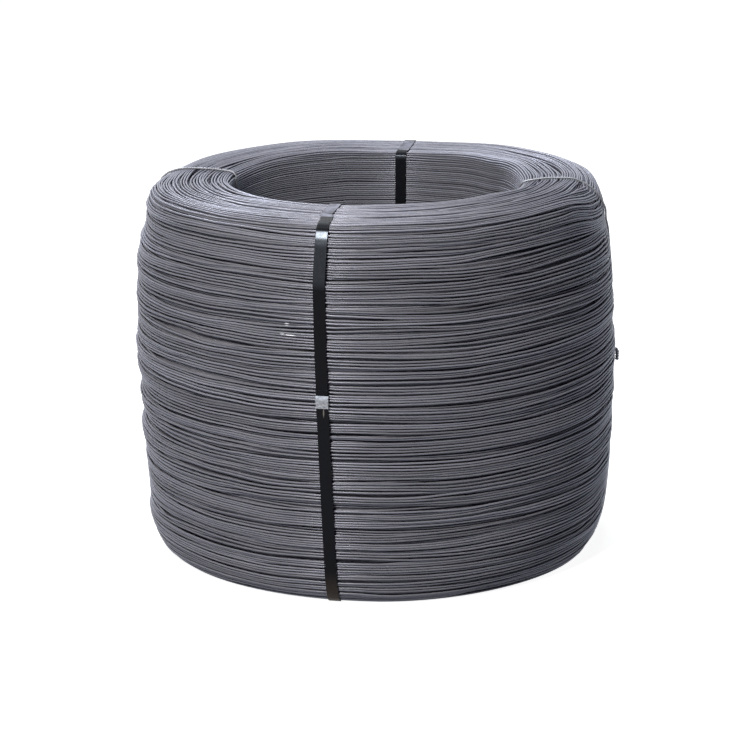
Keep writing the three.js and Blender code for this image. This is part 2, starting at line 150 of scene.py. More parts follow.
# ---- How the turns lie --------------------------------------------------------------------------
STATIONS = 120                      # stations of the rod in each turn
SIDES = 7
UNDER_SIDES = 5
UNDER_DEPTH = 0.0072                # of the second layer of turns behind the first
UNDER_START = 0.02                  # how far before the side the second layer starts
CORE_DEPTH = 0.0145
CORE_ANGLES = 120
CORE_CORNERS = 160
MEAN_RADIUS = 0.6                   # of a turn, for the metres along the rod
TURNS_SEED, UNDER_SEED, SWELL_SEED = 7, 19, 31
Laying = namedtuple("Laying", "pitch unevenness sunk rough bunch swell")
ZONES = {                           # pitch, unevenness of gaps, share sunk, and rise and fall of
    #                                 single turns, of bunches of turns and of the whole surface
    "bottom": Laying(0.0064, 1.2, 0.10, 0.0004, 0.0002, 0),
    "side": Laying(0.0087, 1.2, 0.15, 0.0012, 0.0012, 0.0013),
    "top": Laying(0.0070, 1.3, 0.20, 0.0009, 0.0007, 0.0010),
    "bore": Laying(0.0059, 1.1, 0.10, 0.0005, 0.0003, 0.0005),
}
ZONE_BLEND = 0.02                   # distance over which one zone's laying turns into the next's
SPREAD_ABOVE = ([0, 0.1, 0.2, 0.3, 0.4, 0.5],        # shares of a normal spread that lie above
                [3.6, 1.28, 0.84, 0.52, 0.25, 0])    # each of these limits
SINGLE_REACH = 0.05                 # of the noise of single turns, in turns along the rod
DIVE_NOISE = (0.08, 3)              # reach of noise and turns to each side that share it
BUNCH_NOISE = (0.06, 1)
GAP_NOISE = [(0.75, 0.10), (0.66, 0.035)]            # share and reach of each part
DIVE_START, DIVE_END = 0.25, 0.35   # how far before and after the limit a dive starts and is full
SUNK_DEPTH = 0.82 * ROD             # of a turn that dives between its neighbours
MOST_STEP = 0.86 * ROD              # in depth between two turns that still lie side by side
SHARED_TURNS = 5                    # turns either way over which spare width is shared out
WIDEST_WEIGHT = 8                   # of a gap beside the usual one
FAN_REACH = 24                      # degrees over which turns fan out in front of a tie
FAN_SHUT = 4                        # and close behind it
FAN_GAPS = 1.8                      # how much more uneven their gaps are there
FAN_WIDEST = 8                      # and how much wider the widest may be
FAN_BLENDS = (0.12, 0.03)           # distances over which fans come and go at the top's two ends
BORE_GAPS = (1.4850, 1.5230)        # distances of two wider gaps in the bore
BORE_GAP_WEIGHT = 9
SWELL_WAVES = 26
SECTION_WAVES = (8, 34)             # from and below which whole number they run round the section
COIL_WAVES = (-7, 8)                # and round the coil


def unit(vectors):
    """Vectors of the same directions with a length of 1."""
    return vectors / np.linalg.norm(vectors, axis=-1, keepdims=True)


def metres_along(path):
    """Length of a path up to each of its points."""
    return np.concatenate([[0], np.cumsum(np.linalg.norm(np.diff(path, axis=0), axis=1))])


def onwards(outward):
    """Flat directions round the section, a quarter turn from the outward ones."""
    return np.stack([-outward[..., 1], outward[..., 0]], -1)


def facing(flat, angle):
    """Flat directions in space, once their section is turned to face an angle."""
    radians = np.radians(angle)
    return np.stack([flat[..., 0] * np.cos(radians), flat[..., 0] * np.sin(radians),
                     flat[..., 1]], -1)


def smoothstep(value, low, high):
    """0 up to the low value and 1 from the high one on, with a smooth step between them."""
    share = np.clip((value - low) / (high - low), 0, 1)
    return share * share * (3 - 2 * share)


def bezier(controls, steps):
    """Points of a Bezier curve: its control points are blended pair by pair, at every step at
    once, until one point of each step is left."""
    share = np.linspace(0, 1, steps)[:, None]
    points = [np.array(control, float) for control in controls]
    while len(points) > 1:
        points = [a * (1 - share) + b * share for a, b in zip(points, points[1:])]
    return points[0]


def shoulder_ends(shoulder, end, edge_height):
    """A shoulder's curve from its edge on the side to the end's flat: a Bezier curve whose two
    inner controls lie a full share of the way to the corner, where the side's last tangent meets
    the end. Each half of the side is a parabola that stands upright at the belly, so its slope
    there is twice its taper over its height."""
    edge = np.array([BELLY_RADIUS - shoulder.taper, edge_height])
    slope = 2 * shoulder.taper / abs(edge_height - BELLY_HEIGHT)
    corner = np.array([edge[0] - slope * shoulder.height, end])
    flat = corner - [shoulder.run, 0]
    full = shoulder.fullness
    return [edge, edge + full * (corner - edge), flat + full * (corner - flat), flat]


def section_zones(steps=400):
    """The section's outline as (radius, height) points of each zone in turn, counter-clockwise."""
    top = shoulder_ends(TOP_SHOULDER, COIL_HEIGHT, COIL_HEIGHT - TOP_SHOULDER.height)
    foot = shoulder_ends(FOOT_SHOULDER, 0, FOOT_SHOULDER.height)[::-1]
    rim, bore_top = EYE_RADIUS + EYE_ROUNDING, COIL_HEIGHT - EYE_ROUNDING
    eye_foot, eye_top = (EYE_RADIUS, EYE_ROUNDING), (EYE_RADIUS, bore_top)

    def belly_to(edge):
        return [(BELLY_RADIUS, BELLY_HEIGHT), (BELLY_RADIUS, (BELLY_HEIGHT + edge[1]) / 2), edge]
    zones = {
        "bottom": [[eye_foot, (EYE_RADIUS, 0), (rim, 0)], [(rim, 0), foot[0]]],
        "side": [foot, belly_to(foot[-1])[::-1], belly_to(top[0])],
        "top": [top, [top[-1], (rim, COIL_HEIGHT)],
                [(rim, COIL_HEIGHT), (EYE_RADIUS, COIL_HEIGHT), eye_top]],
        "bore": [[eye_top, eye_foot]],
    }
    return {name: [bezier(controls, steps) for controls in parts] for name, parts in zones.items()}


class Section:
    """The section's outline drawn in by an inset, by distance round it: places, outward normals
    and where each zone ends."""

    def __init__(self, inset):
        zones = section_zones()
        outline, ends = [], []
        for parts in zones.values():
            outline += [part[:-1] for part in parts]
            ends.append(sum(len(points) for points in outline))
        outline = np.concatenate(outline)
        outline = np.vstack([outline, outline[:1]])
        along = np.gradient(outline, axis=0)
        along[0] = along[-1] = along[0] + along[-1]
        self.normals = -onwards(unit(along))
        self.places = outline - inset * self.normals
        self.distances = metres_along(self.places)
        self.length = self.distances[-1]
        self.zone_ends = dict(zip(zones, self.distances[np.array(ends)]))

    def at(self, distance):
        """Place and outward normal at each distance, both as (..., 2) arrays."""
        distance = np.mod(distance, self.length)

        def looked_up(table):
            return np.stack([np.interp(distance, self.distances, table[:, i]) for i in (0, 1)], -1)
        return looked_up(self.places), unit(looked_up(self.normals))

    def up_the_side(self, height):
        """Distance at which the side has a height."""
        side = ((self.distances > self.zone_ends["bottom"])
                & (self.distances < self.zone_ends["side"]))
        return np.interp(height, self.places[side, 1], self.distances[side])


SURFACE = Section(0)


def line_angle(band, distance, section=SURFACE):
    """Angle of a band at each distance, straight between the given ones and closed on itself."""
    line = BANDS[band].line
    return np.interp(np.mod(distance, section.length), list(line), list(line.values()),
                     period=section.length)


# ---- How the turns give way under the straps and ties -------------------------------------------
def angle_from(angle, centre):
    """Signed angle from the centre, between -180 and 180."""
    return np.mod(angle - centre + 180, 360) - 180


def given_way(angle, depth_of, spread):
    """Depth by which the turns give way at each angle: full under a band and falling smoothly to
    nothing, the greatest band counting."""
    depth = np.zeros_like(angle)
    for band in BANDS.values():
        offset = np.abs(angle_from(angle, band.angle))
        depth = np.maximum(depth, depth_of(band) * (1 - smoothstep(offset, PRESS_START, spread)))
    return depth


def hollow_depth(height, angle):
    """Depth of the side's hollows: each is one wave of a cosine over the height, and swings with
    the cosine of the angle from its deepest direction."""
    total = np.zeros(np.broadcast(height, angle).shape)
    for hollow in HOLLOWS:
        share = np.clip(np.abs(height - hollow.height) / hollow.reach, 0, 1)
        swing = 1 + HOLLOW_SWING * np.cos(np.radians(angle - hollow.deepest_angle))
        total = total + hollow.depth * swing * (1 + np.cos(share * math.pi)) / 2
    return total


def settled(radius, height, angle, bridging=False):
    """Places in space of (radius, height) at an angle once the coil has settled.

    Heights above the belly shrink towards the pressed, leaning top, and those below rise to the
    lifted underside, both in proportion to their distance from the belly. Under a tie, the eye's
    rim and the outer shoulder are pulled down further. The outer turns and the bore are moved
    sideways, and the foot bulges, each as a cosine of the angle. The eye is drawn in to an oval,
    by a part of its radius that is even and one that goes with the cosine of twice the angle.
    What bridges the hollows of the side, such as a strap, stays out of them.
    """
    radians = np.radians(angle)
    cosine, sine, oval = np.cos(radians), np.sin(radians), np.cos(2 * radians)

    def towards(swing):
        return swing[0] * cosine + swing[1] * sine

    upper = np.clip((height - BELLY_HEIGHT) / (COIL_HEIGHT - BELLY_HEIGHT), 0, 1)
    lower = np.clip((BELLY_HEIGHT - height) / BELLY_HEIGHT, 0, 1)
    inner = 1 - smoothstep(radius, *BORE_TURNS)
    outer = smoothstep(radius, *OUTER_TURNS)
    head = smoothstep(upper, *HEAD_HEIGHTS)
    press = given_way(angle, lambda band: band.press, PRESS_SPREAD)
    rim = given_way(angle, lambda band: band.rim_pull, PRESS_SPREAD)
    edge = given_way(angle, lambda band: band.shoulder_pull, SHOULDER_SPREAD)
    pull = rim * (1 - smoothstep(radius, *RIM_TURNS)) + edge * smoothstep(radius, *SHOULDER_TURNS)
    lift = given_way(angle, lambda band: band.thickness + CLEARANCE + FLOOR_CLEARANCE, LIFT_SPREAD)
    lean = towards(TOP_LEAN) + inner * towards(EYE_LEAN)
    height_now = height + upper * (lean - TOP_SAG - press) - head * pull + lower * lift
    bulge = (towards(FOOT_BULGE) + FOOT_SPREAD * oval) * outer * smoothstep(lower, *FOOT_HEIGHTS)
    share = height / COIL_HEIGHT
    outer_shift = FOOT_SHIFT * (1 - share) + HEAD_SHIFT * share * (1 - HEAD_EASE * head)
    reach = radius + bulge + inner * (EYE_GROWTH[0] + EYE_GROWTH[1] * oval)
    if not bridging:
        on_side = radius > (EYE_RADIUS + BELLY_RADIUS) / 2
        reach = reach - np.where(on_side, hollow_depth(height, angle), 0)
    return np.stack([reach * cosine + outer * outer_shift + inner * EYE_SHIFT, reach * sine,
                     height_now], axis=-1)


# ---- Smooth random lines along the rod ----------------------------------------------------------
def rod_noise(random, turns, reach):
    """Noise along a closed line of this many turns: white noise blurred by a Gaussian of the given
    reach in turns, with a mean of 0 and a spread of 1."""
    count = turns * STATIONS
    wave = np.fft.rfftfreq(count)
    blur = np.exp(-2 * (math.pi * wave * reach * STATIONS) ** 2)
    noise = np.fft.irfft(np.fft.rfft(random.standard_normal(count)) * blur, count)
    return (noise - noise.mean()) / noise.std()


def over_turns(values, reach):
    """Sum of the values over the turns on both sides, up to reach turns away."""
    return sum(np.roll(values, row * STATIONS) for row in range(-reach, reach + 1))


def spread_noise(random, turns, reach, rows):
    """The same noise spread evenly over the turns on both sides, so that near turns share it."""
    return over_turns(rod_noise(random, turns, reach), rows) / math.sqrt(2 * rows + 1)


def swell_at(share, angle):
    """Slow swelling and sinking of the whole surface, with a spread of 1: a sum of waves that run
    aslant over the share round the section and the angle, closed on themselves both ways."""
    random = np.random.default_rng(SWELL_SEED)
    total = np.zeros_like(share)
    round_section = random.integers(*SECTION_WAVES, SWELL_WAVES)
    round_coil = random.integers(*COIL_WAVES, SWELL_WAVES)
    for section_waves, coil_waves in zip(round_section, round_coil):
        phase = random.uniform(0, 2 * math.pi)
        total += np.cos(2 * math.pi * section_waves * share + coil_waves * np.radians(angle)
                        + phase)
    return total / math.sqrt(SWELL_WAVES / 2)


# ---- The winding --------------------------------------------------------------------------------
Winding = namedtuple("Winding", "distance depth angle turns")


def blended_zones(section, distance, field):
    """One setting of each zone at each distance round the section, blended across zone ends."""
    total, weight_sum, come_in = 0, 0, 1
    for name, end in section.zone_ends.items():
        next_in = smoothstep(distance, end - ZONE_BLEND, end + ZONE_BLEND)
        weight = np.clip(come_in - next_in, 1e-6, 1)
        total = total + getattr(ZONES[name], field) * weight
        weight_sum = weight_sum + weight
        come_in = next_in
    return total / weight_sum


def fan_at(section, distance, angle):
    """How far the turns fan out on the top: full where a tie gathers them, falling away slowly on
    the side of the tie that faces -Y and at once on its other side."""
    fan = np.zeros_like(angle)
    for name, front in (("tie_left", 1), ("tie_right", -1)):
        offset = front * angle_from(angle, BANDS[name].angle)
        ahead = 1 - smoothstep(offset, 0, FAN_REACH)
        behind = 1 - smoothstep(-offset, 0, FAN_SHUT)
        fan = np.maximum(fan, ahead * behind)
    start, end = section.zone_ends["side"], section.zone_ends["top"]
    start_blend, end_blend = FAN_BLENDS
    return (fan * smoothstep(distance, start - start_blend, start + start_blend)
            * (1 - smoothstep(distance, end - end_blend, end)))


def even_turns(section):
    """Number of turns, and of a rod wound evenly, each zone at its own pitch: turns from its start
    to each station, distance round the section there, and pitch to the next turn."""
    fine = np.linspace(0, section.length, 4000)
    rate = 1 / blended_zones(section, fine, "pitch")
    count = np.concatenate([[0], np.cumsum((rate[1:] + rate[:-1]) / 2 * np.diff(fine))])
    turns = int(round(count[-1]))
    count = count * turns / count[-1]
    line = np.arange(turns * STATIONS) / STATIONS
    even = np.interp(line, count, fine)
    pitch = np.interp((line + 1) % turns, count, fine) - even
    return turns, line, even, np.where(pitch < 0, pitch + section.length, pitch)


def turn_depths(random, turns, line, laying, squeezed):
    """Depth of the rod at each station. A wave that changes sign from turn to turn, times noise
    that near turns share, is added to noise of the single turn, and where the sum passes a limit
    the rod dives between its neighbours. Single turns and bunches of turns rise and fall besides,
    where no tie squeezes them together."""
    every_other = (np.cos(math.pi * line) * spread_noise(random, turns, *DIVE_NOISE)
                   + np.sin(math.pi * line) * spread_noise(random, turns, *DIVE_NOISE))
    sinking = 0.8 * every_other + 0.6 * rod_noise(random, turns, SINGLE_REACH)
    limit = np.interp(laying["sunk"], *SPREAD_ABOVE)
    sunk = smoothstep(sinking, limit - DIVE_START, limit + DIVE_END)
    rough = smoothstep(rod_noise(random, turns, SINGLE_REACH), -2, 2)
    bunch = spread_noise(random, turns, *BUNCH_NOISE)
    loose = 2 * laying["rough"] * rough + laying["bunch"] * (1 + bunch)
    return sunk * SUNK_DEPTH + np.maximum(loose, 0) * (1 - squeezed)


def gap_weights(random, turns, even, laying, fan):
    """Weight of the gap beside each turn: the exponential of noise along the rod, levelled off
    below the widest, and raised by a bell curve at the wider gaps of the bore."""
    wander = sum(share * rod_noise(random, turns, reach) for share, reach in GAP_NOISE)
    fanned = fan * rod_noise(random, turns, SINGLE_REACH)
    weight = np.exp(laying["unevenness"] * wander + FAN_GAPS * fanned)
    widest = WIDEST_WEIGHT * (1 + FAN_WIDEST * fan)
    weight = weight * widest / (weight + widest)
    for place in BORE_GAPS:
        weight = weight + BORE_GAP_WEIGHT * np.exp(-((even - place) / (0.5 * ROD)) ** 2)
    return weight


def wound_turns(section, seed):
    """Distance round the section, depth and angle of the rod at each station.

    Each turn lies beside the next at the spacing that lets the two rods touch, which is less where
    one is sunk, and the width that is spare over the near turns is shared out between their gaps
    by uneven weights. So touching groups, lens-shaped gaps and turns that dive between their
    neighbours come and go along the rod. The last turn ends where the first starts.
    """
    random = np.random.default_rng(seed)
    turns, line, even, pitch = even_turns(section)
    angle = line % 1 * 360
    laying = {field: blended_zones(section, even, field) for field in Laying._fields}
    squeezed = np.maximum(*(
        1 - smoothstep(np.abs(angle_from(angle, line_angle(tie, even, section))), PRESS_START,
                       SQUEEZE_SPREAD) for tie in ("tie_left", "tie_right")))
    depth = turn_depths(random, turns, line, laying, squeezed)

    step = np.clip(np.roll(depth, -STATIONS) - depth, -MOST_STEP, MOST_STEP)
    touching = np.sqrt(ROD ** 2 - step ** 2)
    weight = gap_weights(random, turns, even, laying, fan_at(section, even, angle))
    spare = np.maximum(over_turns(pitch - touching, SHARED_TURNS), 0)
    gap = weight * spare / over_turns(weight, SHARED_TURNS)
    spacing = (touching + gap).reshape(turns, STATIONS)
    gap = gap.reshape(turns, STATIONS)
    missing = section.length - spacing.sum(axis=0)
    spacing = spacing + gap * missing / gap.sum(axis=0)
    first = even[:STATIONS] * spacing[0, 0] / pitch[0]
    distance = np.vstack([first, first + np.cumsum(spacing, axis=0)[:-1]]).ravel()

    free = (1 - given_way(angle, lambda band: 1, LIFT_SPREAD)) * (1 - squeezed)
    depth = depth - laying["swell"] * free * swell_at(distance / section.length, angle)
    return Winding(distance, depth, angle, turns)


# ---- Meshes of tubes and bands ------------------------------------------------------------------
def circle(sides, radius=1.0):
    """Corners of a circle, as (cosine, sine) pairs times its radius."""
    turn = np.arange(sides) / sides * 2 * math.pi
    return radius * np.stack([np.cos(turn), np.sin(turn)], -1)


def carried_rings(profile, path, first, second):
    """Rings of a profile carried along a path: its two coordinates count along two directions,
    given once or at each point of the path."""
    return (path[:, None] + profile[..., :1] * first[..., None, :]
            + profile[..., 1:] * second[..., None, :])


def new_object(name, data):
    """An object of the scene, at its origin."""
    piece = bpy.data.objects.new(name, data)
    bpy.context.scene.collection.objects.link(piece)
    return piece


def tube_piece(name, rings, fold, place=None, closed=False):
    """A tube from its rings (stations, corners, 3), with a flat face over each end unless it
    closes on itself. The faces are turned outwards by the sign of the volume that they shut in.

    UV: the tube is laid out in rows of fold stations each, u running along a row and v round the
    ring within it, and the end faces lie in a row of their own. Place, where given, is kept at
    each vertex as rod_place.
    """
    stations, corners = rings.shape[:2]
    row = np.arange(stations if closed else stations - 1)[:, None, None]
    column = np.arange(corners)[:, None]
    ahead, beside = np.array([0, 1, 1, 0]), np.array([0, 0, 1, 1])
    quads = ((row + ahead) % stations * corners + (column + beside) % corners).reshape(-1, 4)
    bands = len(row) // fold + 2
    v = (row // fold + (column + beside) / corners) / bands
    uv = np.stack(np.broadcast_arrays((row % fold + ahead) / fold, v), -1).reshape(-1, 4, 2)
    flat = rings.reshape(-1, 3)
    a, b, c, d = (flat[quads[:, i]] for i in range(4))
    inside_out = np.sum(a * (np.cross(b, c) + np.cross(c, d))) < 0
    way = -1 if inside_out else 1
    starts = np.arange(len(quads)) * 4
    loops, loop_uv = quads[:, ::way].ravel(), uv[:, ::way].reshape(-1, 2)
    if not closed:
        end = np.arange(corners)[::way]
        disc = circle(corners, 0.4 / bands) + [0.25, 1 - 0.5 / bands]
        starts = np.concatenate([starts, len(loops) + np.array([0, corners])])
        loops = np.concatenate([loops, end, (stations - 1) * corners + end[::-1]])
        loop_uv = np.concatenate([loop_uv, disc, disc + [0.5, 0]])
    mesh = bpy.data.meshes.new(name)
    mesh.vertices.add(len(flat))
    mesh.vertices.foreach_set("co", flat.astype(np.float32).ravel())
    mesh.loops.add(len(loops))
    mesh.loops.foreach_set("vertex_index", loops.astype(np.int32))
    mesh.polygons.add(len(starts))
    mesh.polygons.foreach_set("loop_start", starts.astype(np.int32))
    mesh.update(calc_edges=True)
    mesh.uv_layers.new(name="OFBake").uv.foreach_set("vector", loop_uv.astype(np.float32).ravel())
    if place is not None:
        mesh.attributes.new("rod_place", "FLOAT_VECTOR", "POINT").data.foreach_set(
            "vector", place.astype(np.float32).ravel())
    mesh.polygons.foreach_set("use_smooth", np.arange(len(starts)) < len(quads))
    return new_object(name, mesh)


def carried_piece(name, profile, path, first, second, metres, fold):
    """A tube of a profile carried along a path. At each vertex it keeps the metres along it and
    the profile's two coordinates."""
    shape = (len(path), len(profile))
    place = np.concatenate([np.broadcast_to(metres[:, None, None], (*shape, 1)),
                            np.broadcast_to(profile, (*shape, 2))], -1)
    return tube_piece(name, carried_rings(profile, path, first, second), fold, place)


def fit_out(piece, slot, *nodes, finish=None):
    """Gives a piece its material, which has the slot's name unless another finish is named, and
    puts it in place of its CAD nodes."""
    piece.data.materials.append(MATERIALS[finish or slot])
    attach(piece, "root")
    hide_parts(*nodes)


def make_rod(name, section, winding, part, sides):
    """A stretch of the rod: at each station its centre lies in its depth behind the section, and
    its circle is drawn in the plane through the coil's axis."""
    distance, depth, angle = (values[part] for values in winding[:3])
    place, normal = section.at(distance)
    centre = place - depth[:, None] * normal
    path = settled(centre[:, 0], centre[:, 1], angle)
    path[:, 2] = np.maximum(path[:, 2], ROD / 2 + FLOOR_CLEARANCE)
    metres = (np.arange(part.start, part.stop) + 1) * 2 * math.pi * MEAN_RADIUS / STATIONS
    piece = carried_piece(name, circle(sides, ROD / 2), path, facing(normal, angle),
                          facing(onwards(normal), angle), metres, STATIONS)
    fit_out(piece, "wire_rod", "wire_coil")


def wind_layer(section, seed, sides, cuts, names):
    """A layer of turns, as one piece between each two cuts in distance round the section."""
    winding = wound_turns(section, seed)
    at_start = winding.distance.reshape(winding.turns, STATIONS)[:, 0]
    rows = [int(np.searchsorted(at_start, cut)) for cut in cuts]
    for name, first, last in zip(names, rows, rows[1:]):
        part = slice(first * STATIONS, min(last * STATIONS + 1, winding.turns * STATIONS))
        make_rod(name, section, winding, part, sides)


def make_turns():
    """Two layers of turns: one round the whole section, and one behind it that shows in the gaps
    of the side and the top."""
    section = Section(ROD / 2)
    bottom, side, top, _ = section.zone_ends.values()
    cuts = [-1, bottom, (bottom + side) / 2, side, top, (top + section.length) / 2,
            section.length + 1]
    names = ["turns_bottom", "turns_side_lower", "turns_side_upper", "turns_top",
             "turns_bore_upper", "turns_bore_lower"]
    wind_layer(section, TURNS_SEED, SIDES, cuts, names)
    under = Section(ROD / 2 + UNDER_DEPTH)
    bottom, side, top, _ = under.zone_ends.values()
    names = ["under_turns_lower", "under_turns_upper", "under_turns_top"]
    cuts = [bottom - UNDER_START, (bottom + side) / 2, side, top]
    wind_layer(under, UNDER_SEED, UNDER_SIDES, cuts, names)


def make_core():
    """What lies below both layers: the section, drawn in and turned round the axis."""
    section = Section(ROD / 2 + CORE_DEPTH)
    place, _ = section.at(np.linspace(0, section.length, CORE_CORNERS, endpoint=False))
    angle = np.arange(CORE_ANGLES)[:, None] * 360 / CORE_ANGLES
    rings = settled(*np.broadcast_arrays(place[:, 0], place[:, 1], angle))
    piece = tube_piece("coil_core", rings, CORE_ANGLES // 4, closed=True)
    fit_out(piece, "wire_rod", "wire_coil", finish="deep_turns")


# ---- Straps, seals and ties ---------------------------------------------------------------------
def touches(start):
    """Distances at which a band pulled tight round the section touches it, from the start on its
    side once round: evenly along the side, eight times over the top shoulder and seven over the
    foot's, once on each flat and three times on each rounding into the bore."""
    foot, head, top = list(SURFACE.zone_ends.values())[:3]
    once_round = SURFACE.length
    side_up = np.arange(start, head - SIDE_MARGINS[1], SIDE_RUN)
    side_down = np.arange(start - SIDE_RUN, foot + SIDE_MARGINS[0], -SIDE_RUN)[::-1]
    return np.concatenate([side_up, head + TOP_TOUCHES, top - RIM_TOUCHES[::-1],
                           [(top + once_round) / 2], once_round + RIM_TOUCHES,
                           [once_round + FLAT_TOUCH], once_round + foot + FOOT_TOUCHES,
                           once_round + side_down])


def crossed(a, b):
    """Cross product of flat vectors."""
    return a[..., 0] * b[..., 1] - a[..., 1] * b[..., 0]


def wrapped(places, offset):
    """Corners (distance, radius, height) of a band pulled tight round the section: each run of it
    is a tangent at one touching place moved out by the offset, and the corners lie where
    neighbouring runs meet."""
    place, normal = SURFACE.at(places)
    along = onwards(normal)
    start = place + offset * normal
    after, after_start = np.roll(along, -1, 0), np.roll(start, -1, 0)
    reach = crossed(after_start - start, after) / crossed(along, after)
    between = (places + np.append(places[1:], places[0] + SURFACE.length)) / 2
    return np.column_stack([between, start + reach[:, None] * along])


def eased(points, reach):
    """A polyline with each inner corner replaced by a short bend: points held straight up to it,
    one at each end of the bend and the middle of its parabola."""
    before, corner, after = points[:-2], points[1:-1], points[2:]

    def towards(other):
        step = other - corner
        length = np.linalg.norm(step[:, 1:], axis=1)[:, None]
        return step / length * np.minimum(reach, length / BEND_ROOM / BEND_HOLD)
    back, ahead = towards(before), towards(after)
    start, end = corner + back, corner + ahead
    bends = np.stack([corner + BEND_HOLD * back, start, (start + 2 * corner + end) / 4, end,
                      corner + BEND_HOLD * ahead], axis=1).reshape(-1, points.shape[1])
    return np.vstack([points[:1], bends, points[-1:]])


def divided(points, step):
    """A polyline with its runs divided, so that it can follow the coil's surface."""
    along = metres_along(points[:, 1:])
    extra = np.arange(step, along[-1], step)
    extra = extra[np.abs(extra[:, None] - along).min(axis=1) > step / 4]
    places = np.sort(np.concatenate([along, extra]))
    return np.stack([np.interp(places, along, column) for column in points.T], axis=1)


def local_frame(band, distance, bridging):
    """Origin and directions (up the side, across, outwards) at a distance on a band's line."""
    angle = line_angle(band, distance)
    place, normal = SURFACE.at(distance)
    up, out = facing(onwards(normal), angle), facing(normal, angle)
    return settled(*place, np.array(angle), bridging), up, np.cross(out, up), out


STRAP_PROFILE = np.array([          # (across, outwards), in half widths and thicknesses
    (-0.975, 1), (-0.93, 1), (0, 1), (0.93, 1), (0.975, 1), (0.992, 0.86), (1, 0.5), (0.992, 0.14),
    (0.975, 0), (0.93, 0), (0, 0), (-0.93, 0), (-0.975, 0), (-0.992, 0.14), (-1, 0.5),
    (-0.992, 0.86),
]) * [STRAP_WIDTH / 2, STRAP_THICKNESS]


def make_strap(name):
    """A flat strap with its seal: its section carried along a path that starts under the seal,
    goes once round the coil and comes back over its own start."""
    start = SURFACE.up_the_side(SEAL_HEIGHT)
    once_round = SURFACE.length
    place, normal = SURFACE.at(start)
    lap = SEAL_LENGTH / 2 + STRAP_TAIL
    under_end = SEAL_LENGTH / 2 + CLEARANCE

    def beside_seal(distance, out, round_on=0):
        flat = place + distance * onwards(normal) + out * normal
        return [start + distance + round_on, *flat]

    corners = [corner for corner in wrapped(touches(start), CLEARANCE)
               if lap + STRAP_STEP < corner[0] - start < once_round - lap - STRAP_STEP]
    points = eased(np.array([
        beside_seal(-lap, INNER_LAYER),
        beside_seal(under_end, INNER_LAYER),
        beside_seal(under_end + STRAP_STEP, CLEARANCE),
        *corners,
        beside_seal(-lap - CLEARANCE - STRAP_STEP, CLEARANCE, once_round),
        beside_seal(-lap - CLEARANCE, OUTER_LAYER, once_round),
        beside_seal(lap, OUTER_LAYER, once_round),
    ]), STRAP_BEND)
    angle = line_angle(name, points[:, 0])
    path = settled(points[:, 1], points[:, 2], angle, bridging=True)
    along = unit(np.gradient(path, axis=0))
    across = unit(np.cross(facing(SURFACE.at(points[:, 0])[1], angle), along))
    piece = carried_piece(name, STRAP_PROFILE, path, across, np.cross(along, across),
                          metres_along(path), UV_ROW)
    piece.data.set_sharp_from_angle(angle=STRAP_SHARP)
    fit_out(piece, "black_strap", name)
    make_seal(f"{name}_seal", local_frame(name, start, bridging=True))


def make_seal(name, local):
    """A sleeve of sheet closed round both strap ends. Its C-shaped section is carried along it, and
    at each crimp the edges are nipped in and the plate is pressed down beside them, both by a
    bell curve of the distance from the crimp."""
    origin, up, across, out = local
    inside = STRAP_WIDTH / 2 + CLEARANCE
    outside = inside + SEAL_WALL
    lip = inside - SEAL_FLANGE
    flange, plate = CLEARANCE + SEAL_WALL, SEAL_PLATE + SEAL_WALL
    far, near = 2 * SEAL_CHAMFER, SEAL_CHAMFER / 2
    half = np.array([
        (0, plate), (0.35 * outside, plate), (0.7 * outside, plate), (0.88 * outside, plate),
        (outside - far, plate), (outside - near, plate - near), (outside, plate - far),
        (outside, (plate + CLEARANCE) / 2), (outside, CLEARANCE + far),
        (outside - near, CLEARANCE + near), (outside - far, CLEARANCE), (lip, CLEARANCE),
        (lip, flange), (inside, flange), (inside, SEAL_PLATE), (0.5 * inside, SEAL_PLATE)])
    profile = np.vstack([half, [(0, SEAL_PLATE)], half[:0:-1] * [-1, 1]])
    width, height = profile.T
    share = np.linspace(-0.5, 0.5, SEAL_STATIONS)[:, None]
    bell = sum(np.exp(-((share - crimp) * SEAL_LENGTH / CRIMP_REACH) ** 2) for crimp in SEAL_CRIMPS)
    edge = smoothstep(np.abs(width), 0.6 * outside, 0.95 * outside)
    pressed = smoothstep(np.abs(width), 0.45 * outside, 0.9 * outside) * (height > flange)
    profiles = np.stack([width - CRIMP_DEPTH * bell * edge * np.sign(width),
                         height - 0.5 * CRIMP_DEPTH * bell * pressed], -1)
    rings = carried_rings(profiles, origin + share * SEAL_LENGTH * up, across, out)
    piece = tube_piece(name, rings, SEAL_STATIONS)
    piece.data.set_sharp_from_angle(angle=SEAL_SHARP)
    fit_out(piece, "galvanised_seal", name)


